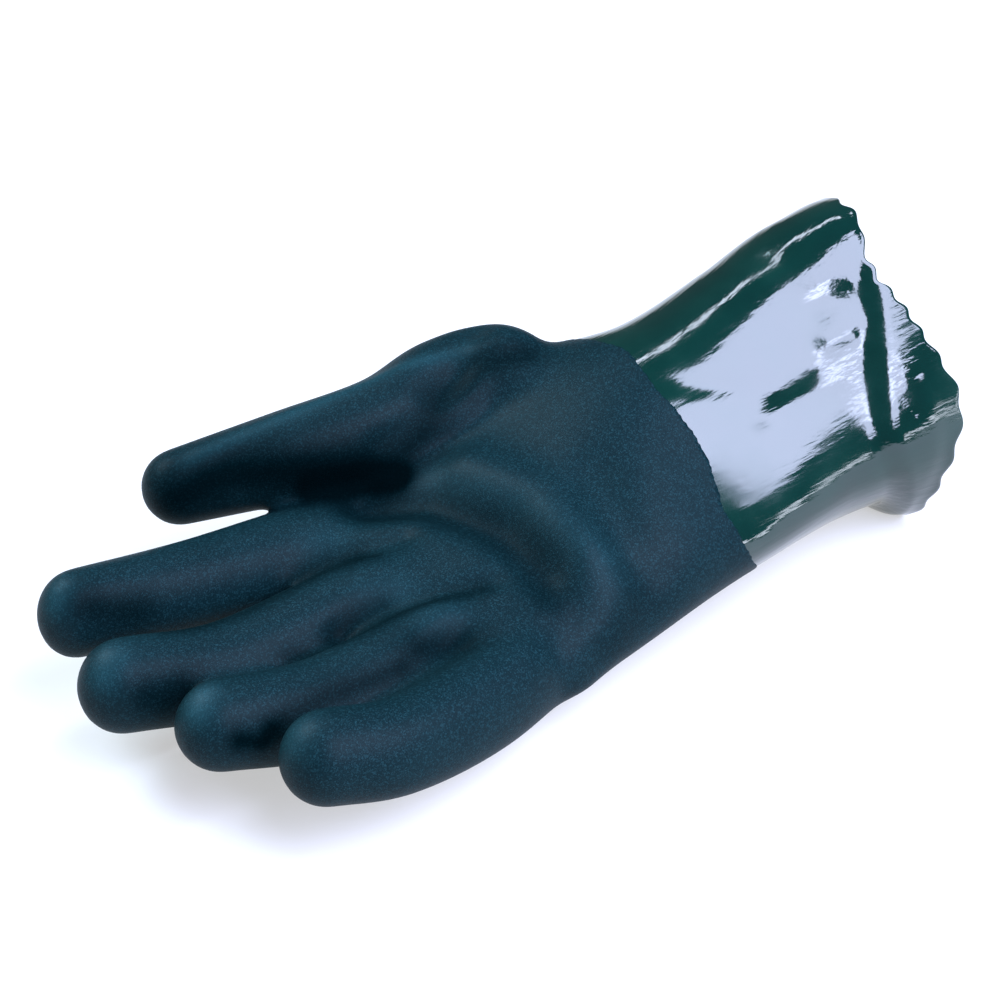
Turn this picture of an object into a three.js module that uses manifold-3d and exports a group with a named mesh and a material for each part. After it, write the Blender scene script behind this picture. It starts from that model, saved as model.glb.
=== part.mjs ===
import * as THREE from "three";
import Module from "manifold-3d";

// PVC coated gauntlet glove, right hand, palm up, in millimetres.
// X runs from the fingertips (-X) to the cuff's hem (+X), the thumb is at +Y, Z is up.

// Driving sizes
const GLOVE_LENGTH = 270; // middle fingertip to hem
const PALM_WIDTH = 112;
const PALM_THICK = 40;
const MOUTH_HEIGHT = 100; // hem, floor to top
const FINGER_DIA = 0.232 * PALM_WIDTH;
const HAND_WALL = 2; // knit and two coats of PVC
const CUFF_WALL = 1.6; // knit and one coat
const COAT_STEP = 0.4; // the sandy coat stands proud of the smooth one
const JOIN_GAP = 0.5; // left between the two pieces, so that they touch nowhere
const SCALLOP_DEPTH = 2.2;
const SCALLOP_COUNT = 27;
const FLAT_FLOOR = 1; // how far the underside is pressed flat where it rests
const LIP_SLOPE = 0.016; // half the length of the slope behind the lip, a share of GLOVE_LENGTH

const BODY_SIDES = 54; // points round the palm and the cuff
const HEM_SIDES = 2 * BODY_SIDES; // points round the hem, four to a scallop
const FINGER_SIDES = 20; // points round a finger
const PALM_RINGS = 13;
const CUFF_RINGS = 12;

// The palm and cuff: sections across X. along: share of GLOVE_LENGTH from the hem; across: the
// centre's Y and wide: the width, both shares of PALM_WIDTH; tall: the height and clear: the height
// of the lowest point, both shares of MOUTH_HEIGHT; square: the section's power, 2 being an ellipse;
// face: how far from its middle the section is pressed flat on the side that faces FLAT_FACING, a
// share of its half size.
const FLAT_FACING = 138; // degrees from +Y
const BODY = [
  { along: 0.000, across: -0.174, wide: 0.750, tall: 1.000, clear: 0.000, square: 2.50, face: 0.72 },
  { along: 0.020, across: -0.169, wide: 0.736, tall: 0.990, clear: 0.015, square: 2.40, face: 0.70 },
  { along: 0.045, across: -0.165, wide: 0.739, tall: 0.965, clear: 0.033, square: 2.30, face: 0.68 },
  { along: 0.080, across: -0.142, wide: 0.752, tall: 0.934, clear: 0.030, square: 2.20, face: 0.67 },
  { along: 0.140, across: -0.114, wide: 0.755, tall: 0.860, clear: 0.018, square: 2.15, face: 0.67 },
  { along: 0.245, across: -0.086, wide: 0.819, tall: 0.752, clear: 0.010, square: 2.10, face: 0.70 },
  { along: 0.350, across: -0.016, wide: 0.980, tall: 0.670, clear: 0.001, square: 2.15, face: 0.84 },
  { along: 0.480, across: -0.020, wide: 0.980, tall: 0.500, clear: 0.000, square: 2.30, face: 1.20 },
  { along: 0.600, across: -0.039, wide: 0.955, tall: 0.415, clear: 0.000, square: 2.40, face: 1.60 },
  { along: 0.690, across: -0.036, wide: 0.916, tall: 0.350, clear: 0.015, square: 2.40, face: 1.60 },
  { along: 0.728, across: -0.030, wide: 0.870, tall: 0.260, clear: 0.080, square: 2.30, face: 1.60 },
];

// The fingers: centre line points from the root to the middle of the tip. along: share of
// GLOVE_LENGTH; across: share of PALM_WIDTH; up: share of MOUTH_HEIGHT; wide and tall: the finger's
// section, shares of FINGER_DIA; roll: how far the section is turned round the centre line, in
// degrees, its top toward the little finger's side.
const FINGERS = {
  index: [
    { along: 0.540, across: 0.235, up: 0.235, wide: 1.05, tall: 1.18, roll: 0 },
    { along: 0.654, across: 0.290, up: 0.255, wide: 1.18, tall: 1.12, roll: 0 },
    { along: 0.812, across: 0.317, up: 0.310, wide: 0.99, tall: 1.04, roll: 0 },
    { along: 0.943, across: 0.345, up: 0.366, wide: 0.85, tall: 1.02, roll: 0 },
  ],
  middle: [
    { along: 0.540, across: 0.000, up: 0.220, wide: 1.00, tall: 1.18, roll: 0 },
    { along: 0.681, across: 0.008, up: 0.248, wide: 1.12, tall: 1.20, roll: 0 },
    { along: 0.846, across: 0.026, up: 0.261, wide: 1.03, tall: 1.04, roll: 0 },
    { along: 0.957, across: 0.088, up: 0.307, wide: 0.96, tall: 1.06, roll: 0 },
  ],
  ring: [
    { along: 0.540, across: -0.210, up: 0.215, wide: 1.00, tall: 1.18, roll: 0 },
    { along: 0.680, across: -0.235, up: 0.240, wide: 1.10, tall: 1.18, roll: 0 },
    { along: 0.812, across: -0.230, up: 0.248, wide: 1.00, tall: 1.11, roll: 0 },
    { along: 0.913, across: -0.176, up: 0.295, wide: 0.97, tall: 0.99, roll: 0 },
  ],
  little: [
    { along: 0.540, across: -0.370, up: 0.205, wide: 0.95, tall: 1.12, roll: 0 },
    { along: 0.670, across: -0.450, up: 0.225, wide: 1.03, tall: 1.13, roll: 0 },
    { along: 0.787, across: -0.486, up: 0.267, wide: 0.99, tall: 1.06, roll: 0 },
    { along: 0.864, across: -0.445, up: 0.308, wide: 0.99, tall: 1.03, roll: 0 },
  ],
  thumb: [
    { along: 0.360, across: 0.150, up: 0.490, wide: 0.90, tall: 1.00, roll: 0 },
    { along: 0.380, across: 0.322, up: 0.522, wide: 1.32, tall: 1.45, roll: 0 },
    { along: 0.432, across: 0.396, up: 0.490, wide: 1.46, tall: 1.43, roll: 8 },
    { along: 0.521, across: 0.415, up: 0.460, wide: 1.22, tall: 1.38, roll: 20 },
    { along: 0.635, across: 0.486, up: 0.452, wide: 1.06, tall: 1.15, roll: 30 },
    { along: 0.749, across: 0.576, up: 0.428, wide: 0.88, tall: 0.90, roll: 32 },
  ],
};
const FINGER_RINGS = 9; // along a finger, up to the dome
const DOME_RINGS = 4;

// Folds and creases of the palm side, each along a path. lift: how far the skin rises, a share of
// PALM_THICK; reach: how far to each side, a share of PALM_WIDTH.
const FOLDS = [
  {
    lift: -0.085,
    reach: 0.065,
    path: [
      { along: 0.600, across: 0.240 },
      { along: 0.557, across: 0.100 },
      { along: 0.535, across: -0.120 },
      { along: 0.542, across: -0.300 },
    ],
  },
  {
    lift: 0.060,
    reach: 0.080,
    path: [
      { along: 0.500, across: 0.120 },
      { along: 0.482, across: -0.140 },
      { along: 0.500, across: -0.330 },
    ],
  },
  {
    lift: -0.050,
    reach: 0.070,
    path: [
      { along: 0.420, across: -0.200 },
      { along: 0.450, across: -0.400 },
    ],
  },
  {
    lift: -0.070,
    reach: 0.060,
    path: [
      { along: 0.480, across: 0.300 },
      { along: 0.400, across: 0.390 },
    ],
  },
];

// The edge of the sandy coat and the hem: where they stand, as shares of GLOVE_LENGTH, on the side
// of the glove that faces each angle from +Y, in degrees.
const DIP = [
  { facing: 0, along: 0.290 },
  { facing: 28, along: 0.296 },
  { facing: 52, along: 0.301 },
  { facing: 70, along: 0.300 },
  { facing: 82, along: 0.300 },
  { facing: 92, along: 0.308 },
  { facing: 103, along: 0.310 },
  { facing: 114, along: 0.306 },
  { facing: 138, along: 0.306 },
  { facing: 156, along: 0.316 },
  { facing: 164, along: 0.322 },
  { facing: 190, along: 0.308 },
  { facing: 214, along: 0.275 },
  { facing: 270, along: 0.255 },
  { facing: 320, along: 0.270 },
  { facing: 360, along: 0.290 },
];
const HEM = [
  { facing: 0, along: 0.000 },
  { facing: 58, along: -0.004 },
  { facing: 72, along: 0.014 },
  { facing: 86, along: 0.024 },
  { facing: 98, along: 0.040 },
  { facing: 112, along: 0.043 },
  { facing: 130, along: 0.030 },
  { facing: 147, along: 0.020 },
  { facing: 164, along: 0.009 },
  { facing: 178, along: 0.002 },
  { facing: 204, along: 0.015 },
  { facing: 228, along: 0.016 },
  { facing: 242, along: 0.011 },
  { facing: 300, along: 0.000 },
  { facing: 360, along: 0.000 },
];

// The lip behind the hem: where its slope lies, and flare: how far the lip stands out beyond it, a
// share of MOUTH_HEIGHT.
const LIP = [
  { facing: 0, along: 0.020, flare: 0.000 },
  { facing: 60, along: 0.010, flare: 0.000 },
  { facing: 84, along: 0.016, flare: 0.012 },
  { facing: 104, along: 0.042, flare: 0.026 },
  { facing: 131, along: 0.064, flare: 0.030 },
  { facing: 165, along: 0.088, flare: 0.030 },
  { facing: 186, along: 0.096, flare: 0.026 },
  { facing: 210, along: 0.070, flare: 0.026 },
  { facing: 236, along: 0.042, flare: 0.046 },
  { facing: 280, along: 0.030, flare: 0.010 },
  { facing: 360, along: 0.020, flare: 0.000 },
];

// Smooth interpolation of one column of a table at a station between 0 and 1 of its key.
function column(table, key, name, at) {
  const last = table.length - 1;
  const t = THREE.MathUtils.clamp(at, table[0][key], table[last][key]);
  let i = 0;
  while (i < last - 1 && t > table[i + 1][key]) i++;
  const slope = (k) => {
    const a = table[Math.max(k - 1, 0)];
    const b = table[Math.min(k + 1, last)];
    return (b[name] - a[name]) / (b[key] - a[key]);
  };
  const h = table[i + 1][key] - table[i][key];
  const u = (t - table[i][key]) / h;
  const rise = 3 * u * u - 2 * u * u * u;
  const start = u * (1 - u) * (1 - u) * h * slope(i);
  const end = u * u * (u - 1) * h * slope(i + 1);
  return table[i][name] * (1 - rise) + table[i + 1][name] * rise + start + end;
}

// Unit point of a section of the given power, at an angle from +Y, pressed flat at face.
function sectionPoint(angle, power, face) {
  const c = Math.cos(angle);
  const s = Math.sin(angle);
  const round = (Math.abs(c) ** power + Math.abs(s) ** power) ** (-1 / power);
  const off = Math.max(Math.cos(angle - THREE.MathUtils.degToRad(FLAT_FACING)), 0);
  const r = round * (1 + ((round * off) / face) ** 8) ** (-1 / 8);
  return [c * r, s * r];
}

const hemX = 0;
const alongToX = (along) => hemX - along * GLOVE_LENGTH;

// Where an edge that runs round the glove stands at an angle.
function edgeAlong(edge, angle) {
  return column(edge, "facing", "along", THREE.MathUtils.radToDeg(angle));
}

// How far the lip behind the hem stands out at a point of the cuff.
function flared(along, angle) {
  const before = edgeAlong(LIP, angle) - along;
  const rise = THREE.MathUtils.smoothstep(before, -LIP_SLOPE, LIP_SLOPE);
  return rise * column(LIP, "facing", "flare", THREE.MathUtils.radToDeg(angle)) * MOUTH_HEIGHT;
}

// A point of the palm and cuff's surface, moved in by inset.
function bodyPoint(along, angle, inset) {
  const face = column(BODY, "along", "face", along);
  const [c, s] = sectionPoint(angle, column(BODY, "along", "square", along), face);
  const halfWide = (column(BODY, "along", "wide", along) * PALM_WIDTH) / 2 - inset;
  const halfTall = (column(BODY, "along", "tall", along) * MOUTH_HEIGHT) / 2 - inset;
  const low = column(BODY, "along", "clear", along) * MOUTH_HEIGHT;
  const middle = column(BODY, "along", "across", along) * PALM_WIDTH;
  const out = flared(along, angle);
  const y = middle + (halfWide + out) * c;
  const z = low + halfTall + inset + (halfTall + out) * s;
  return shaped([alongToX(along), y, z], inset);
}

// How far a point lies from a fold's path, seen from above.
function distanceToPath(path, x, y) {
  const spot = new THREE.Vector3(x, y, 0);
  const corners = path.map((p) => new THREE.Vector3(alongToX(p.along), p.across * PALM_WIDTH, 0));
  const near = new THREE.Vector3();
  const distances = corners.slice(1).map((to, k) => {
    new THREE.Line3(corners[k], to).closestPointToPoint(spot, true, near);
    return near.distanceTo(spot);
  });
  return Math.min(...distances);
}

// Lifts the palm side at the folds and presses the underside flat.
function shaped([x, y, z], inset) {
  const upper = THREE.MathUtils.smoothstep(z, 0.4 * PALM_THICK, 0.8 * PALM_THICK);
  const lift = FOLDS.reduce((sum, fold) => {
    const away = distanceToPath(fold.path, x, y) / (fold.reach * PALM_WIDTH);
    return sum + fold.lift * PALM_THICK * Math.exp(-away * away);
  }, 0);
  return [x, y, Math.max(z + upper * lift, FLAT_FLOOR + inset)];
}

// Triangles between two rings of point numbers. The second may have twice as many points.
function band(first, second) {
  const n = first.length;
  const m = second.length;
  return first.flatMap((a, j) => {
    const b = first[(j + 1) % n];
    if (m === n) return [[a, second[j], b], [b, second[j], second[(j + 1) % m]]];
    const [c, d, e] = [second[2 * j], second[2 * j + 1], second[(2 * j + 2) % m]];
    return [[a, c, d], [a, d, b], [b, d, e]];
  });
}

// Point numbers of each ring, the rings being stored one after the other.
function numbered(rings) {
  let count = 0;
  return rings.map((ring) => ring.map(() => count++));
}

// A solid from rings of points with a fan from the middle of the first and the last ring.
function ringsToSolid(rings) {
  const points = rings.flat();
  const ids = numbered(rings);
  const triangles = ids.slice(1).flatMap((ring, k) => band(ids[k], ring));
  const cap = (ring, sign) => {
    const n = ring.length;
    const middle = [0, 1, 2].map((axis) => ring.reduce((sum, id) => sum + points[id][axis], 0) / n);
    const centre = points.push(middle) - 1;
    ring.forEach((id, j) => {
      const next = ring[(j + 1) % n];
      triangles.push(sign > 0 ? [centre, id, next] : [centre, next, id]);
    });
  };
  cap(ids[0], 1);
  cap(ids[ids.length - 1], -1);
  return solid(points, triangles);
}

function solid(points, triangles) {
  const made = new wasm.Manifold(
    new wasm.Mesh({
      numProp: 3,
      vertProperties: new Float32Array(points.flat()),
      triVerts: new Uint32Array(triangles.flat()),
    }),
  );
  return made;
}

const wasm = await Module();
wasm.setup();

const angles = (n) => Array.from({ length: n }, (_, j) => (2 * Math.PI * j) / n);
const steps = (n) => Array.from({ length: n + 1 }, (_, k) => k / n);

// The palm from the dip line, or a way past it, to the knuckles, closed at both ends. A ring
// further in than the wall keeps the cut end square to the wall.
function palm(inset, past) {
  const end = BODY[BODY.length - 1].along - inset / GLOVE_LENGTH;
  const ring = (u, inward) =>
    angles(BODY_SIDES).map((a) => {
      const start = edgeAlong(DIP, a) - past / GLOVE_LENGTH;
      return bodyPoint(start + (end - start) * u, a, inward);
    });
  const rings = steps(PALM_RINGS).map((u) => ring(u, inset));
  return ringsToSolid([ring(0, inset + 2 * HAND_WALL), ...rings]);
}

// A finger: rings square to its centre line, with a dome at the tip.
function finger(table, inset) {
  const rows = table.map((row, k) => ({ ...row, at: k / (table.length - 1) }));
  const point = (at) =>
    new THREE.Vector3(
      alongToX(column(rows, "at", "along", at)),
      column(rows, "at", "across", at) * PALM_WIDTH,
      column(rows, "at", "up", at) * MOUTH_HEIGHT,
    );
  const rings = [];
  const ring = (centre, ahead, wide, tall, roll) => {
    const side = new THREE.Vector3().crossVectors(ahead, new THREE.Vector3(0, 0, 1)).normalize();
    side.applyAxisAngle(ahead, -THREE.MathUtils.degToRad(roll));
    const up = new THREE.Vector3().crossVectors(side, ahead);
    return angles(FINGER_SIDES).map((a) => {
      const p = centre.clone().addScaledVector(side, (Math.cos(a) * wide) / 2);
      return shaped(p.addScaledVector(up, (Math.sin(a) * tall) / 2).toArray(), inset);
    });
  };
  const heading = (at) => point(Math.min(at + 0.02, 1)).sub(point(Math.max(at - 0.02, 0))).normalize();
  const size = (name, at) => column(rows, "at", name, at) * FINGER_DIA - 2 * inset;
  steps(FINGER_RINGS).forEach((at) => {
    const roll = column(rows, "at", "roll", at);
    rings.push(ring(point(at), heading(at), size("wide", at), size("tall", at), roll));
  });
  const ahead = heading(1);
  steps(DOME_RINGS)
    .slice(1)
    .forEach((u) => {
      const a = (u * Math.PI) / 2;
      const shrink = Math.max(Math.cos(a), 0.12);
      const centre = point(1).addScaledVector(ahead, (Math.sin(a) * size("wide", 1)) / 2);
      const roll = rows[rows.length - 1].roll;
      rings.push(ring(centre, ahead, size("wide", 1) * shrink, size("tall", 1) * shrink, roll));
    });
  return ringsToSolid(rings.map((r) => r.slice()));
}

function joined(parts) {
  return parts.reduce((a, b) => a.add(b));
}

function hand() {
  const outer = joined([palm(0, 0), ...Object.values(FINGERS).map((t) => finger(t, 0))]);
  const inner = joined([palm(HAND_WALL, 4 * HAND_WALL), ...Object.values(FINGERS).map((t) => finger(t, HAND_WALL))]);
  return outer.subtract(inner);
}

// The cuff: an outer and an inner skin from the hem to the dip line, joined at both ends.
function cuff() {
  const ring = (inset, u, sides) =>
    angles(sides).map((a) => {
      const start = edgeAlong(HEM, a);
      const end = edgeAlong(DIP, a) - JOIN_GAP / GLOVE_LENGTH;
      const p = bodyPoint(start + (end - start) * u, a, inset);
      if (u === 0) p[0] += (SCALLOP_DEPTH / 2) * Math.cos(a * SCALLOP_COUNT);
      return p;
    });
  const skin = (inset) =>
    steps(CUFF_RINGS).map((u) => ring(inset, u ** 1.5, u < 0.15 ? HEM_SIDES : BODY_SIDES));
  const outer = skin(COAT_STEP);
  const inner = skin(COAT_STEP + CUFF_WALL);
  const outerIds = numbered(outer);
  const shift = outer.flat().length;
  const innerIds = numbered(inner).map((r) => r.map((id) => id + shift));
  const turned = (triangles) => triangles.map(([a, b, c]) => [a, c, b]);
  const forward = (ids) =>
    ids.slice(1).flatMap((next, k) =>
      ids[k].length > next.length ? turned(band(next, ids[k])) : band(ids[k], next),
    );
  const last = outerIds.length - 1;
  const triangles = [
    ...forward(outerIds),
    ...turned(forward(innerIds)),
    ...turned(band(outerIds[0], innerIds[0])),
    ...band(outerIds[last], innerIds[last]),
  ];
  return solid([...outer.flat(), ...inner.flat()], triangles);
}

function toMesh(name, made, colour, roughness) {
  const data = made.getMesh();
  const geometry = new THREE.BufferGeometry();
  geometry.setAttribute("position", new THREE.BufferAttribute(new Float32Array(data.vertProperties), 3));
  geometry.setIndex(new THREE.BufferAttribute(new Uint32Array(data.triVerts), 1));
  const mesh = new THREE.Mesh(geometry, new THREE.MeshStandardMaterial({ color: colour, roughness }));
  mesh.name = name;
  return mesh;
}

// The origin is under the middle of the glove's box.
const pieces = [
  toMesh("sandy_hand", hand(), 0x1c4250, 0.8),
  toMesh("smooth_cuff", cuff(), 0x00423c, 0.15),
];
const box = new THREE.Box3();
pieces.forEach((piece) => box.expandByObject(piece));
const middle = box.getCenter(new THREE.Vector3());
pieces.forEach((piece) => piece.geometry.translate(-middle.x, -middle.y, -box.min.z));

const root = new THREE.Group();
root.add(...pieces);
export default root;
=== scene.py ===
"""Visual model of a PVC coated gauntlet glove, right hand, lying palm up.

The glove is dipped twice. A smooth, glossy green coat covers the whole glove and shows at the cuff;
a sandy, teal blue coat covers the hand up to the dip line. Lengths are in metres, X runs from the
fingertips to the hem, the thumb is at +Y and Z is up.
"""
import logging
from dataclasses import dataclass, field
from enum import Enum

import bmesh
import bpy
import numpy as np
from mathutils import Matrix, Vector


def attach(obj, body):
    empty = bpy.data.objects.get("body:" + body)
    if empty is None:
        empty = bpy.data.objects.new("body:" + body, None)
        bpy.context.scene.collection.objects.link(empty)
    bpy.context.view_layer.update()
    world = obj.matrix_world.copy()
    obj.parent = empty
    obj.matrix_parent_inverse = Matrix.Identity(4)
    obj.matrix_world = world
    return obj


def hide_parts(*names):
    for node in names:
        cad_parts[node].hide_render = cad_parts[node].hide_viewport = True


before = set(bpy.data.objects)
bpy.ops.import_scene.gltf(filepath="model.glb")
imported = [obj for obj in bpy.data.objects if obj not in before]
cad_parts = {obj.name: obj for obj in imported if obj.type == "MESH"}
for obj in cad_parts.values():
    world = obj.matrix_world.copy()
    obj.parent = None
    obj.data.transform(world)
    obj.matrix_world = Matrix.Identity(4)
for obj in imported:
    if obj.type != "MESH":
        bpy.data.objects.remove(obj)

Array = np.ndarray
log = logging.getLogger("glove")
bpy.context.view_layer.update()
MM = 0.001


class Skin(Enum):
    """The two faces of the glove's wall."""

    OUTER = 0
    INNER = 1


def curve(rows: Array, at: Array) -> Array:
    """Smooth interpolation of table rows, whose first column is the station.

    Between two rows the value is a cubic whose slope at each row is that of the line through
    the rows before and after it; at the ends it is the slope of the first or last interval.

    Args:
        rows: one row per station, the station first.
        at: stations of any shape, held inside the table.

    Returns:
        The other columns at each station, on a new last axis.
    """
    key, value = rows[:, 0], rows[:, 1:]
    ahead = np.minimum(np.arange(len(key)) + 1, len(key) - 1)
    behind = np.maximum(np.arange(len(key)) - 1, 0)
    slope = (value[ahead] - value[behind]) / (key[ahead] - key[behind])[:, None]
    held = np.clip(at, key[0], key[-1])
    i = np.clip(np.searchsorted(key, held, side="left") - 1, 0, len(key) - 2)
    h = (key[i + 1] - key[i])[..., None]
    u = (held[..., None] - key[i][..., None]) / h
    rise = 3 * u**2 - 2 * u**3
    return (value[i] * (1 - rise) + value[i + 1] * rise
            + u * (1 - u) ** 2 * h * slope[i] + u**2 * (u - 1) * h * slope[i + 1])


def smoothstep(x: Array, low: float, high: float) -> Array:
    """Zero below low, one above high, and a smooth S between."""
    t = np.clip((x - low) / (high - low), 0, 1)
    return t * t * (3 - 2 * t)


def path_reach(points: Array, path: Array) -> tuple[Array, Array]:
    """Distance from each point to a path of straight stretches, in as many dimensions as given.

    Args:
        points: n points.
        path: the path's corners.

    Returns:
        The distances, and the share of the way along the path at which each point is nearest.
    """
    best, share = np.full(len(points), np.inf), np.zeros(len(points))
    for k, (a, b) in enumerate(zip(path[:-1], path[1:])):
        ab = b - a
        t = np.clip(((points - a) @ ab) / (ab @ ab), 0, 1)
        away = np.linalg.norm(points - a - t[:, None] * ab, axis=1)
        share = np.where(away < best, (k + t) / (len(path) - 1), share)
        best = np.minimum(best, away)
    return best, share


@dataclass(frozen=True)
class Fold:
    """A fold or crease of the palm side, along a path.

    Attributes:
        lift: how far the skin rises, a share of the palm's thickness.
        reach: how far to each side, a share of the palm's width.
        path: rows of (share of the length from the hem, share of the palm's width).
    """

    lift: float
    reach: float
    path: tuple[tuple[float, float], ...]


@dataclass(frozen=True)
class Swell:
    """A soft bump, or a dent when its height is below zero.

    Attributes:
        spot: its middle as (share of the length, share of the palm's width, share of the mouth's
            height).
        reach: its radius in millimetres, along X, Y and Z.
        height: how far the skin moves out there, in millimetres.
    """

    spot: tuple[float, float, float]
    reach: tuple[float, float, float]
    height: float


@dataclass(frozen=True)
class Crease:
    """A soft ridge of the skin along a path in space, or a valley when its height is below zero.

    Attributes:
        height: how far the skin moves out on the path, in millimetres.
        reach: how far to each side, in millimetres.
        path: points as (share of the length, share of the palm's width, share of the mouth's
            height).
        fade: the share of the path over which the height fades in at each end.
    """

    height: float
    reach: float
    path: tuple[tuple[float, float, float], ...]
    fade: float = 0.0


@dataclass
class GloveForm:
    """The glove's form: the sections of palm and cuff, the fingers, the edges and the folds."""

    length: float = 270.0
    palm_width: float = 112.0
    palm_thick: float = 40.0
    mouth_height: float = 100.0
    finger_share: float = 0.232
    coat_step: float = 0.4
    flat_floor: float = 1.0
    flat_facing: float = 138.0
    lip_slope: float = 0.016
    ragged: float = 0.35
    origin: tuple[float, float, float] = (-134.1851, 4.3217, 1.0)
    # along, across, wide, tall, clear, square, face
    body: Array = field(default_factory=lambda: np.array([
        (0.000, -0.174, 0.750, 1.000, 0.000, 2.50, 0.72),
        (0.020, -0.169, 0.736, 0.990, 0.015, 2.40, 0.70),
        (0.045, -0.165, 0.739, 0.965, 0.033, 2.30, 0.68),
        (0.080, -0.142, 0.752, 0.934, 0.030, 2.20, 0.67),
        (0.140, -0.114, 0.755, 0.860, 0.018, 2.15, 0.67),
        (0.245, -0.086, 0.819, 0.752, 0.010, 2.10, 0.70),
        (0.350, -0.016, 0.980, 0.670, 0.001, 2.15, 0.84),
        (0.480, -0.020, 0.980, 0.500, 0.000, 2.30, 1.20),
        (0.600, -0.039, 0.955, 0.415, 0.000, 2.40, 1.60),
        (0.690, -0.036, 0.916, 0.350, 0.015, 2.40, 1.60),
        (0.728, -0.030, 0.870, 0.260, 0.080, 2.30, 1.60),
    ]))
    # share of the way, along, across, up, wide, tall, roll in degrees
    fingers: dict[str, Array] = field(default_factory=lambda: {
        "index": np.array([
            (0.0, 0.540, 0.235, 0.235, 1.05, 1.18, 0),
            (1 / 3, 0.654, 0.290, 0.255, 1.18, 1.12, 0),
            (2 / 3, 0.812, 0.317, 0.310, 0.99, 1.04, 0),
            (1.0, 0.943, 0.345, 0.366, 0.85, 1.02, 0)]),
        "middle": np.array([
            (0.0, 0.540, 0.000, 0.220, 1.00, 1.18, 0),
            (1 / 3, 0.681, 0.008, 0.248, 1.12, 1.20, 0),
            (2 / 3, 0.846, 0.026, 0.261, 1.03, 1.04, 0),
            (1.0, 0.957, 0.088, 0.307, 0.96, 1.06, 0)]),
        "ring": np.array([
            (0.0, 0.540, -0.210, 0.215, 1.00, 1.18, 0),
            (1 / 3, 0.680, -0.235, 0.240, 1.10, 1.18, 0),
            (2 / 3, 0.812, -0.230, 0.248, 1.00, 1.11, 0),
            (1.0, 0.913, -0.176, 0.295, 0.97, 0.99, 0)]),
        "little": np.array([
            (0.0, 0.540, -0.370, 0.205, 0.95, 1.12, 0),
            (1 / 3, 0.670, -0.450, 0.225, 1.03, 1.13, 0),
            (2 / 3, 0.787, -0.486, 0.267, 0.99, 1.06, 0),
            (1.0, 0.864, -0.445, 0.308, 0.99, 1.03, 0)]),
        "thumb": np.array([
            (0.0, 0.360, 0.150, 0.490, 0.90, 1.00, 0),
            (0.2, 0.380, 0.322, 0.522, 1.32, 1.45, 0),
            (0.4, 0.432, 0.396, 0.490, 1.46, 1.43, 8),
            (0.6, 0.521, 0.415, 0.460, 1.22, 1.38, 20),
            (0.8, 0.635, 0.486, 0.452, 1.06, 1.15, 30),
            (1.0, 0.749, 0.576, 0.428, 0.88, 0.90, 32)]),
    })
    # facing in degrees from +Y, along
    dip: Array = field(default_factory=lambda: np.array([
        (0, 0.290), (28, 0.296), (52, 0.301), (70, 0.300), (82, 0.300), (92, 0.308),
        (103, 0.310), (114, 0.306), (138, 0.306), (156, 0.316), (164, 0.322), (190, 0.308),
        (214, 0.275), (270, 0.255), (320, 0.270), (360, 0.290)], float))
    hem: Array = field(default_factory=lambda: np.array([
        (0, 0.000), (58, -0.004), (72, 0.014), (86, 0.024), (98, 0.040), (112, 0.043),
        (130, 0.030), (147, 0.020), (164, 0.009), (178, 0.002), (204, 0.015), (228, 0.016),
        (242, 0.011), (300, 0.000), (360, 0.000)], float))
    # facing, along, flare
    lip: Array = field(default_factory=lambda: np.array([
        (0, 0.020, 0.000), (60, 0.010, 0.000), (84, 0.016, 0.012), (104, 0.042, 0.026),
        (131, 0.064, 0.030), (165, 0.088, 0.030), (186, 0.096, 0.026), (210, 0.070, 0.026),
        (236, 0.042, 0.046), (280, 0.030, 0.010), (360, 0.020, 0.000)], float))
    folds: tuple[Fold, ...] = (
        Fold(-0.085, 0.065, ((0.600, 0.240), (0.557, 0.100), (0.535, -0.120), (0.542, -0.300))),
        Fold(0.060, 0.080, ((0.500, 0.120), (0.482, -0.140), (0.500, -0.330))),
        Fold(-0.050, 0.070, ((0.420, -0.200), (0.450, -0.400))),
        Fold(-0.070, 0.060, ((0.480, 0.300), (0.400, 0.390))),
    )

    def edge(self, table: Array, angle: Array) -> Array:
        """Where an edge that runs round the glove stands at each angle, as a share of the length."""
        return curve(table, np.degrees(np.mod(angle, 2 * np.pi)))[..., 0]

    def dip_line(self, points: Array) -> Array:
        """How far from the hem the sandy coat ends there, in millimetres, with its ragged edge.

        The edge wanders by the ragged height times sin(53 a) sin(31 a + 1), a the angle round.
        """
        facing = self.facing_of(points)
        wave = self.ragged * np.sin(facing * 53) * np.sin(facing * 31 + 1.0)
        return self.edge(self.dip, facing) * self.length + wave

    def ground(self, points: Array, inset: float = 0.0) -> Array:
        """Presses the underside flat, less the inset."""
        out = points.copy()
        out[..., 2] = np.maximum(out[..., 2], self.flat_floor + inset)
        return out

    def folded(self, points: Array) -> Array:
        """Lifts the palm side at the folds.

        Each fold moves the skin up by its lift times exp(-(distance / reach)^2), faded in over
        the upper half of the palm.

        Args:
            points: n by 3 points in millimetres, in the table's frame.

        Returns:
            The moved points.
        """
        upper = smoothstep(points[:, 2], 0.4 * self.palm_thick, 0.8 * self.palm_thick)
        lift = np.zeros(len(points))
        for fold in self.folds:
            path = np.array(fold.path) * (-self.length, self.palm_width)
            away = path_reach(points[:, :2], path)[0] / (fold.reach * self.palm_width)
            lift += fold.lift * self.palm_thick * np.exp(-(away**2))
        out = points.copy()
        out[:, 2] += upper * lift
        return out

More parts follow.
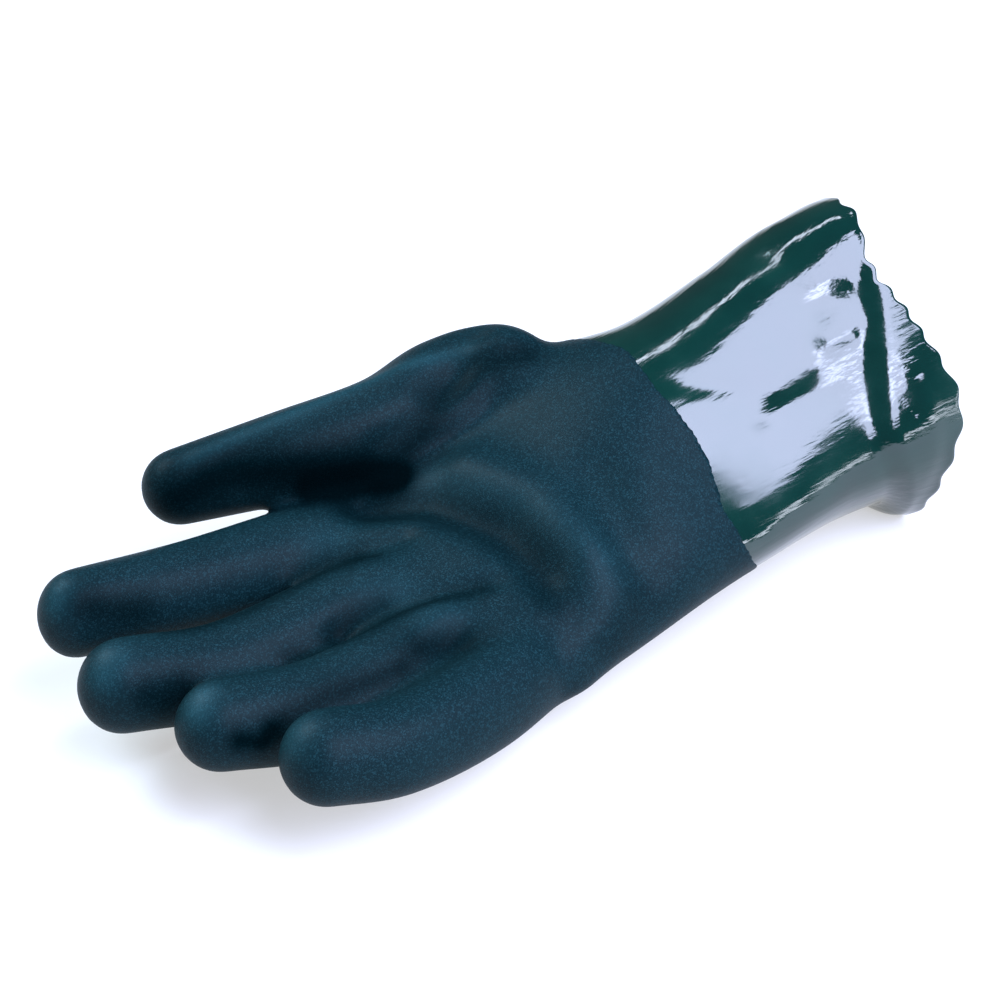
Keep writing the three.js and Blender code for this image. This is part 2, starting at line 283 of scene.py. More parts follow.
    def body_points(self, along: Array, angle: Array, inset: float | Array) -> Array:
        """Points of the palm and cuff: across X a superellipse of unit radius r, pressed flat.

        Where off is the cosine from the flat side, r becomes r / (1 + (r off / face)^8)^(1/8).

        Args:
            along: shares of the length from the hem.
            angle: angles from +Y toward +Z, of the same shape.
            inset: how far inside the skin, in millimetres.

        Returns:
            Points in millimetres on a new last axis.
        """
        across, wide, tall, clear, square, face = np.moveaxis(curve(self.body, along), -1, 0)
        c, s = np.cos(angle), np.sin(angle)
        r = (np.abs(c) ** square + np.abs(s) ** square) ** (-1 / square)
        off = np.maximum(np.cos(angle - np.radians(self.flat_facing)), 0)
        r = r * (1 + (r * off / face) ** 8) ** (-1 / 8)
        half_wide = wide * self.palm_width / 2 - inset
        half_tall = tall * self.mouth_height / 2 - inset
        at, flare = np.moveaxis(curve(self.lip, np.degrees(np.mod(angle, 2 * np.pi))), -1, 0)
        out = smoothstep(at - along, -self.lip_slope, self.lip_slope) * flare * self.mouth_height
        y = across * self.palm_width + (half_wide + out) * c * r
        z = clear * self.mouth_height + half_tall + inset + (half_tall + out) * s * r
        return np.stack([-along * self.length, y, z], axis=-1)

    def finger_points(self, table: Array, sides: int, rings: int, dome: int) -> Array:
        """A finger: ellipses square to its centre line and turned by its roll, then a round dome.

        The dome's rings move ahead by sin(a) and shrink by cos(a) of the tip's half width.

        Args:
            table: the finger's rows.
            sides: points round a ring.
            rings: rings along the finger.
            dome: rings of the dome.

        Returns:
            A grid of points, rings by sides by 3, in millimetres.
        """
        t = np.linspace(0, 1, rings)
        scale = (-self.length, self.palm_width, self.mouth_height)

        def centre(at: Array) -> Array:
            """The centre line."""
            return curve(table, at)[..., :3] * scale

        def unit(v: Array) -> Array:
            """Unit vectors."""
            return v / np.linalg.norm(v, axis=-1, keepdims=True)

        heading = unit(centre(np.minimum(t + 0.02, 1)) - centre(np.maximum(t - 0.02, 0)))
        size = curve(table, t)[..., 3:5] * self.finger_share * self.palm_width / 2
        roll = np.radians(curve(table, t)[..., 5])
        a = np.linspace(0, np.pi / 2, dome + 1)[1:]
        tip = centre(np.array([1.0])) + heading[-1] * np.sin(a)[:, None] * size[-1, 0]
        middle = np.concatenate([centre(t), tip])
        ahead = np.concatenate([heading, np.repeat(heading[-1:], dome, 0)])
        half = np.concatenate([size, size[-1] * np.maximum(np.cos(a), 0.02)[:, None]])
        roll = np.concatenate([roll, np.repeat(roll[-1:], dome)])[:, None]
        level = unit(np.cross(ahead, (0.0, 0.0, 1.0)))
        side = level * np.cos(roll) + np.cross(level, ahead) * np.sin(roll)
        up = np.cross(side, ahead)
        phi = np.linspace(0, 2 * np.pi, sides, endpoint=False)
        return (middle[:, None] + np.cos(phi)[None, :, None] * (side * half[:, :1])[:, None]
                + np.sin(phi)[None, :, None] * (up * half[:, 1:])[:, None])

    def facing_of(self, points: Array) -> Array:
        """The angle from +Y at which each point stands round the body's middle line."""
        along = -points[:, 0] / self.length
        across, wide, tall, clear = np.moveaxis(curve(self.body, along)[:, :4], -1, 0)
        y = (points[:, 1] - across * self.palm_width) / wide / self.palm_width
        z = (points[:, 2] - (clear + tall / 2) * self.mouth_height) / tall / self.mouth_height
        return np.arctan2(z, y)

    def detailed(self, points: Array, normals: Array, swells: tuple[Swell, ...],
                 creases: tuple[Crease, ...]) -> Array:
        """Moves the skin along its normals by the swells and creases, each a bell.

        Args:
            points: n by 3 points in millimetres, in the table's frame.
            normals: the skin's normals there.
            swells: round ones.
            creases: long ones.

        Returns:
            The moved points.
        """
        scale = (-self.length, self.palm_width, self.mouth_height)
        out = np.zeros(len(points))
        for swell in swells:
            away = ((points - np.array(swell.spot) * scale) / swell.reach) ** 2
            out += swell.height * np.exp(-away.sum(axis=1))
        for crease in creases:
            out += self.bell(points, crease)
        return points + normals * out[:, None]

    def bell(self, points: Array, crease: Crease) -> Array:
        """The crease's height at each point: height times exp(-(distance / reach)^2), faded in."""
        path = np.array(crease.path) * (-self.length, self.palm_width, self.mouth_height)
        away, share = path_reach(points, path)
        faded = smoothstep(np.minimum(share, 1 - share), -0.001, crease.fade)
        return crease.height * faded * np.exp(-((away / crease.reach) ** 2))

    def to_frame(self, points: Array) -> Array:
        """Millimetres of the tables to metres of the part's frame."""
        return (points - self.origin) * MM


def mesh_object(name: str, points: Array, faces: Array) -> bpy.types.Object:
    """A new smooth-shaded object from points and quads or triangles."""
    mesh = bpy.data.meshes.new(name)
    mesh.from_pydata(points.reshape(-1, 3).tolist(), [], faces.tolist())
    mesh.validate()
    mesh.shade_smooth()
    obj = bpy.data.objects.new(name, mesh)
    bpy.context.scene.collection.objects.link(obj)
    return obj


def ring_quads(rings: int, sides: int, close: bool = False) -> Array:
    """Quads of a grid of closed rings; close also joins the last ring to the first."""
    k = np.arange(rings if close else rings - 1)[:, None]
    j = np.arange(sides)[None, :]
    a, b = k * sides + j, k * sides + (j + 1) % sides
    c, d = ((k + 1) % rings) * sides + j, ((k + 1) % rings) * sides + (j + 1) % sides
    return np.stack([a, c, d, b], axis=-1).reshape(-1, 4)


def tube(points: Array) -> tuple[Array, Array]:
    """A closed tube from a grid of rings, its ends closed by fans of quads folded to triangles.

    Args:
        points: rings by sides by 3.

    Returns:
        The points, with the two end middles added, and faces of four corners each.
    """
    rings, sides = points.shape[:2]
    flat = np.concatenate([points.reshape(-1, 3), points[[0, -1]].mean(axis=1)])
    j = np.arange(sides)
    first, last = rings * sides, rings * sides + 1
    end = (rings - 1) * sides
    near = np.stack([np.full(sides, first), j, (j + 1) % sides], axis=-1)
    far = np.stack([np.full(sides, last), end + (j + 1) % sides, end + j], axis=-1)
    quads = ring_quads(rings, sides)
    thirds = np.concatenate([quads[:, [0, 1, 2]], quads[:, [0, 2, 3]], near, far])
    return flat, thirds


def get_points(obj: bpy.types.Object) -> Array:
    """The object's vertices as an array."""
    out = np.empty(len(obj.data.vertices) * 3, np.float32)
    obj.data.vertices.foreach_get("co", out)
    return out.reshape(-1, 3).astype(float)


def set_points(obj: bpy.types.Object, points: Array) -> None:
    """Writes the vertices back."""
    obj.data.vertices.foreach_set("co", points.astype(np.float32).ravel())
    obj.data.update()


def get_normals(obj: bpy.types.Object) -> Array:
    """Vertex normals as an array."""
    out = np.empty(len(obj.data.vertices) * 3, np.float32)
    obj.data.vertex_normals.foreach_get("vector", out)
    return out.reshape(-1, 3).astype(float)


def apply_modifiers(obj: bpy.types.Object) -> None:
    """Bakes the modifiers into the mesh."""
    graph = bpy.context.evaluated_depsgraph_get()
    mesh = bpy.data.meshes.new_from_object(obj.evaluated_get(graph), depsgraph=graph)
    obj.modifiers.clear()
    old, obj.data = obj.data, mesh
    bpy.data.meshes.remove(old)


def relax(obj: bpy.types.Object, rounds: int, hollow: float, round_off: float) -> None:
    """Rounds the skin: hollow creases fill into fillets, ridges are hardly touched.

    Each round moves every point toward the mean of its neighbours, by the share `hollow` where
    that mean lies outside the skin and by `round_off` where it lies inside.

    Args:
        obj: the object.
        rounds: how many times.
        hollow: the share at hollow places.
        round_off: the share elsewhere.
    """
    edges = np.empty(len(obj.data.edges) * 2, np.int32)
    obj.data.edges.foreach_get("vertices", edges)
    a, b = edges.reshape(-1, 2).T
    count = np.bincount(np.concatenate([a, b]), minlength=len(obj.data.vertices))[:, None]
    points = get_points(obj)
    for k in range(rounds):
        if k % 5 == 0:
            set_points(obj, points)
            normals = get_normals(obj)
        total = np.stack([np.bincount(a, points[b, i], len(points))
                          + np.bincount(b, points[a, i], len(points)) for i in range(3)], axis=-1)
        pull = total / count - points
        out = (pull * normals).sum(axis=1, keepdims=True)
        share = np.where(out > 0, hollow, round_off)
        points = points + pull * share
    set_points(obj, points)


def add_node(mat: bpy.types.Material, kind: str, inputs: dict[str, object] | None = None,
             **settings: object) -> bpy.types.ShaderNode:
    """Adds a shader node.

    Args:
        mat: the material.
        kind: the node's kind, without its Shader Node prefix.
        inputs: values of its inputs, by name.
        settings: its own settings.

    Returns:
        The node.
    """
    node = mat.node_tree.nodes.new("ShaderNode" + kind)
    for name, value in settings.items():
        setattr(node, name, value)
    for name, value in (inputs or {}).items():
        node.inputs[name].default_value = value
    return node


@dataclass(frozen=True)
class SandyPvc:
    """Matte PVC with a sandy grain: each grain has its own tone and stands a little proud.

    Two attributes stored on the skin paint light and shade into it: painted shade in the
    hollows, darker and duller, and painted highlights on the crests, lighter.
    """

    name: str = "sandy_pvc"
    dark: tuple[float, float, float] = (0.0006, 0.0088, 0.0115)
    light: tuple[float, float, float] = (0.0155, 0.067, 0.082)
    # the tone of the painted shade
    shade_tone: tuple[float, float, float] = (0.0003, 0.0020, 0.0026)
    grain: float = 2900.0
    grain_height: float = 0.00018
    patches: float = 60.0
    patch_share: float = 0.10
    painted_highlight_share: float = 0.68
    # how far the painted highlights lift the tone toward the light one
    roughness: float = 0.50
    shine: float = 0.07
    ior: float = 1.5

    def make(self) -> bpy.types.Material:
        """Builds the node material."""
        mat = bpy.data.materials.new(self.name)
        mat.use_nodes = True
        link = mat.node_tree.links.new
        bsdf = mat.node_tree.nodes["Principled BSDF"]
        place = add_node(mat, "TexCoord").outputs["Object"]
        grains = add_node(mat, "TexVoronoi", {"Scale": self.grain})
        broad = add_node(mat, "TexNoise", {"Scale": self.patches, "Detail": 4.0})
        own = add_node(mat, "SeparateColor")
        spark = add_node(mat, "MapRange", {"From Min": 0.35, "From Max": 1.0, "To Max": 0.62})
        sharp = add_node(mat, "Math", operation="POWER")
        sharp.inputs[1].default_value = 2.2
        blend = add_node(mat, "Math", operation="MULTIPLY_ADD")
        blend.inputs[1].default_value = self.patch_share
        # painted highlights: on the crests the tone is lifted toward the light one
        painted_highlight_mix = add_node(mat, "Math", operation="MULTIPLY_ADD")
        painted_highlight_mix.inputs[1].default_value = self.painted_highlight_share
        tone = add_node(mat, "Mix", data_type="RGBA")
        tone.inputs["A"].default_value = (*self.dark, 1)
        tone.inputs["B"].default_value = (*self.light, 1)
        # painted shade: where the hollow attribute is high, the tone gives way to the shade tone
        painted_shade_mix = add_node(mat, "Mix", data_type="RGBA")
        painted_shade_mix.inputs["B"].default_value = (*self.shade_tone, 1)
        bump = add_node(mat, "Bump", {"Strength": 0.55, "Distance": self.grain_height})
        # the hollow attribute holds the painted shade, the next one the painted highlights
        hollow = add_node(mat, "Attribute", attribute_name="hollow")
        painted_highlight = add_node(mat, "Attribute", attribute_name="painted_highlight")
        # the painted shade also takes the shine away
        painted_shade_shine = add_node(mat, "MapRange", {"From Max": 0.8, "To Min": self.shine, "To Max": 0.0})
        for tex in (grains, broad):
            link(place, tex.inputs["Vector"])
        link(grains.outputs["Color"], own.inputs["Color"])
        link(own.outputs["Red"], spark.inputs["Value"])
        link(spark.outputs["Result"], sharp.inputs[0])
        link(broad.outputs["Fac"], blend.inputs[0])
        link(sharp.outputs["Value"], blend.inputs[2])
        link(painted_highlight.outputs["Fac"], painted_highlight_mix.inputs[0])
        link(blend.outputs["Value"], painted_highlight_mix.inputs[2])
        link(painted_highlight_mix.outputs["Value"], tone.inputs["Factor"])
        link(hollow.outputs["Fac"], painted_shade_mix.inputs["Factor"])
        link(tone.outputs["Result"], painted_shade_mix.inputs["A"])
        link(painted_shade_mix.outputs["Result"], bsdf.inputs["Base Color"])
        link(own.outputs["Green"], bump.inputs["Height"])
        link(bump.outputs["Normal"], bsdf.inputs["Normal"])
        link(hollow.outputs["Fac"], painted_shade_shine.inputs["Value"])
        link(painted_shade_shine.outputs["Result"], bsdf.inputs["Specular IOR Level"])
        bsdf.inputs["Roughness"].default_value = self.roughness
        bsdf.inputs["Specular IOR Level"].default_value = self.shine
        bsdf.inputs["IOR"].default_value = self.ior
        return mat


@dataclass(frozen=True)
class GlossPvc:
    """Smooth PVC: a clear, wet gloss, duller in patches, with faint streaks along the glove."""

    name: str = "smooth_pvc"
    dark: tuple[float, float, float] = (0.0003, 0.0110, 0.0095)
    light: tuple[float, float, float] = (0.0004, 0.0290, 0.0210)
    streaks: float = 420.0
    streak_height: float = 0.00026
    streak_stretch: tuple[float, float, float] = (0.10, 1.0, 1.0)
    patches: float = 55.0
    roughness: tuple[float, float] = (0.07, 0.17)
    shine: float = 0.62
    ior: float = 1.54

    def make(self) -> bpy.types.Material:
        """Builds the node material."""
        mat = bpy.data.materials.new(self.name)
        mat.use_nodes = True
        link = mat.node_tree.links.new
        bsdf = mat.node_tree.nodes["Principled BSDF"]
        place = add_node(mat, "TexCoord").outputs["Object"]
        stretch = add_node(mat, "Mapping", {"Scale": self.streak_stretch})
        streak = add_node(mat, "TexNoise", {"Scale": self.streaks, "Detail": 3.0})
        cloud = add_node(mat, "TexNoise", {"Scale": self.patches, "Detail": 4.0})
        tone = add_node(mat, "Mix", data_type="RGBA")
        tone.inputs["A"].default_value = (*self.dark, 1)
        tone.inputs["B"].default_value = (*self.light, 1)
        bump = add_node(mat, "Bump", {"Strength": 0.50, "Distance": self.streak_height})
        worn = add_node(mat, "MapRange", {"From Min": 0.38, "From Max": 0.66,
                                          "To Min": self.roughness[0], "To Max": self.roughness[1]})
        link(place, stretch.inputs["Vector"])
        link(stretch.outputs["Vector"], streak.inputs["Vector"])
        link(place, cloud.inputs["Vector"])
        link(cloud.outputs["Fac"], worn.inputs["Value"])
        link(worn.outputs["Result"], bsdf.inputs["Roughness"])
        link(cloud.outputs["Fac"], tone.inputs["Factor"])
        link(tone.outputs["Result"], bsdf.inputs["Base Color"])
        link(streak.outputs["Fac"], bump.inputs["Height"])
        link(bump.outputs["Normal"], bsdf.inputs["Normal"])
        bsdf.inputs["IOR"].default_value = self.ior
        bsdf.inputs["Specular IOR Level"].default_value = self.shine
        return mat


@dataclass
class SandyHand:
    """Palm, back, thumb and fingers: one skin up to the dip line, with its wall."""

    form: GloveForm
    wall: float = 2.0
    voxel: float = 1.32
    palm_rings: int = 90
    palm_sides: int = 120
    palm_start: float = 0.20
    finger_rings: int = 60
    finger_sides: int = 48
    dome_rings: int = 14
    # the most share of painted shade or painted highlight at any point
    most_paint: float = 0.95
    swells: tuple[Swell, ...] = (
        Swell((0.665, 0.215, 0.385), (11, 7, 7), 1.2),
        Swell((0.662, -0.045, 0.380), (10, 7, 7), 1.4),
        Swell((0.655, -0.250, 0.390), (10, 7, 7), 1.8),
        Swell((0.672, -0.335, 0.335), (7, 5, 6), -2.2),
        Swell((0.714, 0.460, 0.536), (16, 7, 8), -1.8),
        Swell((0.470, 0.270, 0.560), (10, 7, 9), 1.6),
        Swell((0.940, 0.250, 0.404), (7, 5, 6), -0.9),
        Swell((0.930, -0.050, 0.330), (7, 5, 6), -0.9),
    )
    creases: tuple[Crease, ...] = (
        Crease(-1.9, 6.5, ((0.600, 0.240, 0.39), (0.553, 0.113, 0.41), (0.529, -0.107, 0.42),
                           (0.528, -0.303, 0.40), (0.544, -0.433, 0.36), (0.579, -0.486, 0.31))),
        Crease(1.6, 8.0, ((0.503, 0.093, 0.48), (0.485, -0.139, 0.49), (0.483, -0.370, 0.42),
                          (0.498, -0.492, 0.31), (0.548, -0.519, 0.18))),
        Crease(-1.6, 8.0, ((0.440, -0.470, 0.36), (0.470, -0.490, 0.31), (0.533, -0.513, 0.26))),
        Crease(-2.2, 4.5, ((0.718, 0.140, 0.34), (0.670, 0.115, 0.37), (0.610, 0.050, 0.40))),
        Crease(-2.2, 4.5, ((0.740, -0.110, 0.33), (0.690, -0.125, 0.36), (0.640, -0.180, 0.38),
                           (0.585, -0.240, 0.40))),
        Crease(-1.8, 5.0, ((0.560, 0.300, 0.52), (0.505, 0.310, 0.55), (0.468, 0.325, 0.61),
                           (0.430, 0.310, 0.66), (0.370, 0.240, 0.67))),
        Crease(0.9, 4.0, ((0.727, 0.521, 0.564), (0.615, 0.471, 0.600), (0.498, 0.405, 0.637),
                          (0.414, 0.356, 0.681))),
    )

    # painted shade along the hollows, the finger grooves and the thumb's flank; the height is the
    # share of the tone that gives way to the dark shade tone
    painted_shade_paths: tuple[Crease, ...] = (
        Crease(0.90, 9.0, ((0.765, 0.508, 0.465), (0.715, 0.454, 0.505), (0.647, 0.371, 0.490),
                           (0.584, 0.313, 0.460))),
        Crease(0.75, 5.0, ((0.640, 0.365, 0.400), (0.581, 0.328, 0.386), (0.548, 0.250, 0.411))),
        Crease(0.60, 6.0, ((0.945, 0.282, 0.440), (0.930, 0.252, 0.416), (0.895, 0.236, 0.386))),
        Crease(0.65, 6.0, ((0.955, -0.015, 0.335), (0.944, -0.033, 0.324), (0.918, -0.047, 0.332))),
        Crease(0.85, 4.0, ((0.919, -0.282, 0.325), (0.898, -0.299, 0.304), (0.888, -0.298, 0.329))),
        Crease(0.50, 7.0, ((0.617, 0.258, 0.370), (0.567, 0.112, 0.398), (0.541, -0.059, 0.426),
                           (0.536, -0.246, 0.412), (0.556, -0.382, 0.386))),
        Crease(0.65, 6.0, ((0.704, -0.309, 0.365), (0.672, -0.330, 0.346), (0.656, -0.342, 0.351))),
        Crease(0.58, 4.5, ((0.718, 0.147, 0.339), (0.684, 0.128, 0.362), (0.660, 0.100, 0.374))),
        Crease(0.58, 4.5, ((0.754, -0.099, 0.318), (0.713, -0.094, 0.349), (0.691, -0.107, 0.363))),
        Crease(0.60, 6.0, ((0.560, 0.240, 0.440), (0.507, 0.270, 0.528), (0.475, 0.302, 0.599),
                           (0.424, 0.286, 0.658), (0.370, 0.231, 0.676))),
        Crease(0.55, 4.0, ((0.895, 0.093, 0.390), (0.806, 0.060, 0.370), (0.713, 0.071, 0.375),
                           (0.657, 0.041, 0.394))),
        Crease(0.55, 4.0, ((0.803, -0.094, 0.311), (0.754, -0.184, 0.360), (0.677, -0.187, 0.375),
                           (0.600, -0.240, 0.400))),
        Crease(0.55, 4.0, ((0.864, -0.300, 0.340), (0.815, -0.301, 0.350), (0.735, -0.327, 0.344))),
        Crease(0.30, 7.0, ((0.467, -0.483, 0.336), (0.504, -0.509, 0.260))),
    )

    # painted highlights on the fingertips, the thumb's ridge and the palm's crests; the height is how
    # far the tone moves toward the light one
    painted_highlight_paths: tuple[Crease, ...] = (
        Crease(0.55, 5.0, ((0.972, 0.326, 0.452), (0.962, 0.338, 0.466))),
        Crease(0.55, 5.5, ((0.985, 0.060, 0.405), (0.972, 0.076, 0.420))),
        Crease(0.70, 5.0, ((0.940, -0.180, 0.392), (0.930, -0.166, 0.404))),
        Crease(0.50, 5.5, ((0.897, -0.424, 0.392), (0.886, -0.410, 0.404))),
        Crease(0.45, 2.8, ((0.764, 0.547, 0.529), (0.697, 0.512, 0.570), (0.617, 0.466, 0.604),
                           (0.492, 0.422, 0.647), (0.394, 0.332, 0.697)), 0.1),
        Crease(0.22, 5.0, ((0.591, 0.340, 0.380), (0.533, 0.171, 0.444), (0.505, -0.035, 0.491),
                           (0.493, -0.201, 0.489), (0.485, -0.374, 0.429), (0.501, -0.492, 0.315)),
               0.2),
        Crease(0.22, 6.0, ((0.680, 0.200, 0.360), (0.660, 0.180, 0.365))),
        Crease(0.25, 6.0, ((0.690, -0.080, 0.368), (0.665, -0.098, 0.375))),
        Crease(0.25, 6.0, ((0.675, -0.262, 0.380), (0.655, -0.278, 0.388))),
    )

    def tubes(self) -> bpy.types.Object:
        """Joins the palm's and the fingers' tubes in one object, in metres of the tables' frame."""
        form = self.form
        angle = np.linspace(0, 2 * np.pi, self.palm_sides, endpoint=False)
        along = np.linspace(self.palm_start, form.body[-1, 0], self.palm_rings)
        grid = form.body_points(*np.broadcast_arrays(along[:, None], angle[None, :]), 0.0)
        parts = [tube(grid)]
        size = (self.finger_sides, self.finger_rings, self.dome_rings)
        parts += [tube(form.finger_points(table, *size)) for table in form.fingers.values()]
        shift = np.cumsum([0] + [len(p) for p, _ in parts[:-1]])
        points = np.concatenate([p for p, _ in parts])
        faces = np.concatenate([f + n for (_, f), n in zip(parts, shift)])
        return mesh_object("sandy_hand_skin", points * MM, faces)

    def shape(self, obj: bpy.types.Object) -> None:
        """Fuses the tubes, fills their creases, adds swells and folds, and stores the painted shade
        and painted highlights.
        """
        remesh = obj.modifiers.new("fuse", "REMESH")
        remesh.mode = "VOXEL"
        remesh.voxel_size = self.voxel * MM
        apply_modifiers(obj)
        relax(obj, rounds=60, hollow=0.5, round_off=0.03)
        points = get_points(obj) / MM
        points = self.form.detailed(points, get_normals(obj), self.swells, self.creases)
        points = self.form.ground(self.form.folded(points))
        set_points(obj, points * MM)
        relax(obj, rounds=4, hollow=0.4, round_off=0.4)
        # painted shade and painted highlights, stored on the skin as attributes for the material
        points = get_points(obj) / MM
        for name, places in (("hollow", self.painted_shade_paths), ("painted_highlight", self.painted_highlight_paths)):
            share = sum(self.form.bell(points, place) for place in places)
            share = np.minimum(share, self.most_paint)
            store = obj.data.attributes.new(name, "FLOAT", "POINT")
            store.data.foreach_set("value", share.astype(np.float32))

    def cut(self, obj: bpy.types.Object) -> None:
        """Cuts the skin at the dip line.

        The points are moved by the dip line's own X, so that the line becomes the plane X = 0;
        the mesh is cut there and moved back.
        """
        form = self.form
        points = get_points(obj) / MM
        points[:, 0] += form.dip_line(points)
        set_points(obj, points)
        bm = bmesh.new()
        bm.from_mesh(obj.data)
        bmesh.ops.bisect_plane(bm, geom=bm.verts[:] + bm.edges[:] + bm.faces[:], dist=1e-4,
                               plane_co=(0, 0, 0), plane_no=(1, 0, 0), clear_outer=True)
        bm.to_mesh(obj.data)
        bm.free()
        points = get_points(obj)
        back = points.copy()
        for _ in range(4):
            back[:, 0] = points[:, 0] - form.dip_line(back)
        set_points(obj, form.to_frame(back))

    def build(self, finish: SandyPvc) -> bpy.types.Object:
        """Builds the finished piece.

        Args:
            finish: its finish.

        Returns:
            The piece, with its wall.
        """
        obj = self.tubes()
        self.shape(obj)
        self.cut(obj)
        obj.name = "sandy_hand_shell"
        obj.data.shade_smooth()
        wall = obj.modifiers.new("wall", "SOLIDIFY")
        wall.thickness = self.wall * MM
        wall.offset = -1.0
        wall.use_even_offset = False
        apply_modifiers(obj)
        obj.data.materials.clear()
        obj.data.materials.append(finish.make())
        return obj


@dataclass
class SmoothCuff:
    """The gauntlet from the dip line to the scalloped hem, a closed wall on one grid."""

    form: GloveForm
    wall: float = 1.6
    sides: int = 324
    rings: int = 84
    scallops: int = 27
    scallop_depth: float = 1.4
    scallop_start: float = 0.88
    lip_rings: int = 5
    tuck: float = 1.0
    creases: tuple[Crease, ...] = (
        Crease(-0.9, 4.0, ((0.320, -0.050, 0.690), (0.276, -0.153, 0.667), (0.210, -0.240, 0.634)),
               0.3),
        Crease(-1.2, 5.0, ((0.250, -0.300, 0.555), (0.179, -0.317, 0.580), (0.100, -0.340, 0.625)),
               0.4),
        Crease(-0.9, 4.5, ((0.145, -0.184, 0.776), (0.060, -0.245, 0.845)), 0.4),
        Crease(0.9, 4.5, ((0.145, -0.255, 0.695), (0.060, -0.310, 0.760)), 0.4),
        Crease(-0.6, 4.0, ((0.150, 0.040, 0.845), (0.115, -0.050, 0.880), (0.060, -0.180, 0.915)),
               0.4),
        Crease(-0.7, 4.0, ((0.330, -0.430, 0.410), (0.260, -0.480, 0.330)), 0.4),
    )
    pits: tuple[Swell, ...] = (
        Swell((0.041, -0.450, 0.616), (1.5, 1.5, 1.5), -0.35),
        Swell((0.062, -0.492, 0.513), (1.3, 1.3, 1.3), -0.30),
    )

    def skin(self, skin: Skin) -> Array:
        """One face of the wall.

        The hem waves along the skin by half the scallop depth times cos(scallops a + 0.7 sin 3a),
        a the angle round, faded in from the scallops' start to the hem.

        Args:
            skin: which face.

        Returns:
            Rings by sides by 3 points, from the dip line to the hem.
        """
        form = self.form
        angle = np.linspace(0, 2 * np.pi, self.sides, endpoint=False)[None, :]
        u = np.linspace(0, 1, self.rings)[:, None]
        start = form.edge(form.dip, angle) + self.tuck / form.length
        end = form.edge(form.hem, angle)
        wave = np.cos(angle * self.scallops + 0.7 * np.sin(3 * angle)) * self.scallop_depth / 2
        along = start + (end - start) * u - wave * smoothstep(u, self.scallop_start, 1.0) / form.length
        angle = np.broadcast_to(angle, along.shape)
        inset = form.coat_step + (self.wall if skin is Skin.INNER else 0.0)
        points = form.body_points(along, angle, inset)
        shape = points.shape
        out = np.cross(np.roll(points, -1, 1) - np.roll(points, 1, 1), np.gradient(points, axis=0))
        out /= np.linalg.norm(out, axis=-1, keepdims=True)
        points = form.detailed(points.reshape(-1, 3), out.reshape(-1, 3), self.pits, self.creases)
        points = form.folded(points).reshape(shape)
        return form.ground(points, inset - form.coat_step)

    def build(self, finish: GlossPvc) -> bpy.types.Object:
        """Builds the finished piece from the two skins and a round lip between them."""
        outer, inner = self.skin(Skin.OUTER), self.skin(Skin.INNER)
        middle, half = (outer[-1] + inner[-1]) / 2, (outer[-1] - inner[-1]) / 2
        a = np.linspace(0, np.pi, self.lip_rings + 2)[1:-1, None, None]
        bulge = np.array([self.wall / 2, 0, 0])
        lip = middle + half * np.cos(a) + bulge * np.sin(a)
        grid = np.concatenate([outer, lip, inner[::-1]])
        quads = ring_quads(len(grid), self.sides, close=True)[:, ::-1]
        obj = mesh_object("smooth_cuff_shell", self.form.to_frame(grid), quads)
        obj.data.materials.append(finish.make())
        return obj


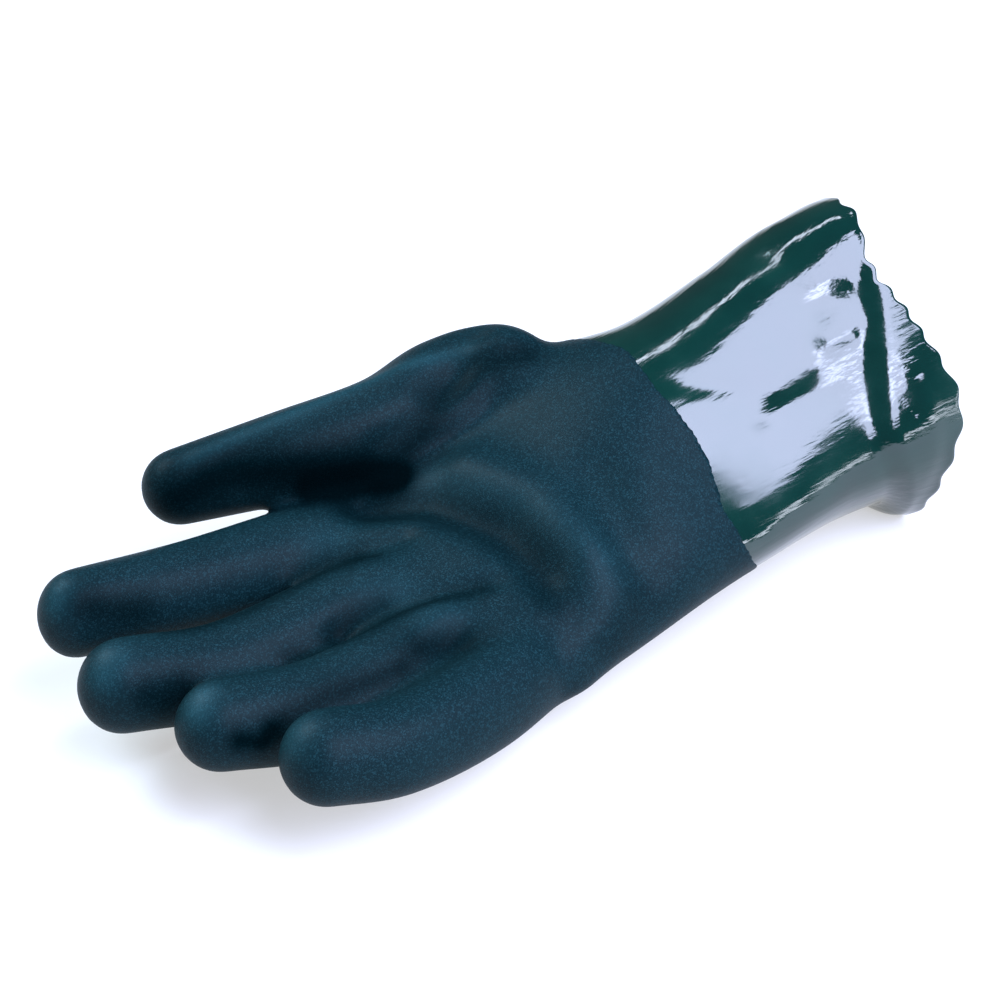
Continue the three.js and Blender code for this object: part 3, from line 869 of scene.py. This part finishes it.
@dataclass
class Studio:
    """Pale floor, soft lights and the camera."""

    azimuth: float = -39.5
    elevation: float = 35.0
    distance: float = 0.760
    lens: float = 93.3
    sensor: float = 36.0
    aim: tuple[float, float, float] = (-133.0, 0.0, 42.0)
    lit_spot: tuple[float, float, float] = (0.07, -0.03, 0.05)
    floor_reach: float = 3.0
    floor_tone: tuple[float, float, float] = (0.40, 0.40, 0.41)
    floor_glow: float = 0.52
    sky_tone: tuple[float, float, float] = (0.90, 0.95, 1.10)
    sky_strength: float = 0.09

    def camera(self, form: GloveForm) -> None:
        """Places the camera at the viewing angle."""
        a, e = np.radians(self.azimuth), np.radians(self.elevation)
        back = Vector((np.sin(a) * np.cos(e), -np.cos(a) * np.cos(e), np.sin(e)))
        data = bpy.data.cameras.new("camera")
        data.lens = self.lens
        data.sensor_width = self.sensor
        cam = bpy.data.objects.new("camera", data)
        cam.location = Vector(form.to_frame(np.array(self.aim))) + back * self.distance
        cam.rotation_mode = "QUATERNION"
        cam.rotation_quaternion = (-back).to_track_quat("-Z", "Y")
        bpy.context.scene.collection.objects.link(cam)
        bpy.context.scene.camera = cam

    def light(self, name: str, azimuth: float, elevation: float, away: float,
              size: tuple[float, float], power: float, tint: tuple[float, float, float]) -> None:
        """A soft box that faces the cuff.

        Args:
            name: its name.
            azimuth: where it stands, in degrees from +X toward +Y.
            elevation: how high, in degrees.
            away: how far, in metres.
            size: width and height in metres.
            power: watts.
            tint: its colour.
        """
        a, e = np.radians(azimuth), np.radians(elevation)
        way = Vector((np.cos(a) * np.cos(e), np.sin(a) * np.cos(e), np.sin(e)))
        data = bpy.data.lights.new(name, "AREA")
        data.shape = "RECTANGLE"
        data.size, data.size_y = size
        data.energy = power
        data.color = tint
        lamp = bpy.data.objects.new(name, data)
        lamp.location = Vector(self.lit_spot) + way * away
        lamp.rotation_mode = "QUATERNION"
        lamp.rotation_quaternion = (-way).to_track_quat("-Z", "Y")
        bpy.context.scene.collection.objects.link(lamp)

    def stage(self) -> None:
        """Floor, world and lights."""
        xy = np.array([-self.floor_reach, self.floor_reach])
        grid = np.stack([*np.meshgrid(xy, xy), np.zeros((2, 2))], axis=-1)
        floor = mesh_object("floor", grid, np.array([[0, 1, 3, 2]]))
        mat = bpy.data.materials.new("pale_floor")
        mat.use_nodes = True
        paint = mat.node_tree.nodes["Principled BSDF"]
        paint.inputs["Base Color"].default_value = (*self.floor_tone, 1)
        paint.inputs["Roughness"].default_value = 0.9
        paint.inputs["Emission Color"].default_value = (1, 1, 1, 1)
        paint.inputs["Emission Strength"].default_value = self.floor_glow
        floor.data.materials.append(mat)
        world = bpy.data.worlds.new("studio")
        world.use_nodes = True
        sky = world.node_tree.nodes["Background"]
        sky.inputs["Color"].default_value = (*self.sky_tone, 1)
        sky.inputs["Strength"].default_value = self.sky_strength
        bpy.context.scene.world = world
        self.light("key", -78, 52, 1.1, (1.05, 0.80), 36.0, (0.66, 0.72, 1.0))
        self.light("back_strip", 82, 62, 1.1, (0.9, 0.10), 4.0, (0.75, 0.82, 1.0))
        self.light("tips", 118, 40, 1.1, (0.45, 0.35), 14.0, (0.66, 0.86, 1.0))
        self.light("lip", -98, 26, 1.1, (0.40, 0.30), 5.0, (0.66, 0.72, 1.0))
        self.light("low_strip", -60, 3, 1.0, (0.8, 0.06), 1.6, (0.8, 0.86, 1.0))
        bpy.context.scene.view_settings.view_transform = "Standard"


def main() -> None:
    """Builds the glove, its pieces and the studio."""
    logging.basicConfig(level=logging.INFO, format="%(message)s")
    form = GloveForm()
    studio = Studio()
    studio.camera(form)
    studio.stage()
    hand = SandyHand(form).build(SandyPvc())
    cuff = SmoothCuff(form).build(GlossPvc())
    for piece, node, slot in ((hand, "sandy_hand", "sandy_pvc"), (cuff, "smooth_cuff", "smooth_pvc")):
        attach(piece, "root")
        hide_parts(node)
        log.info("%s: %d faces, replaces %s", piece.name, len(piece.data.polygons), node)


if __name__ == "__main__":
    main()
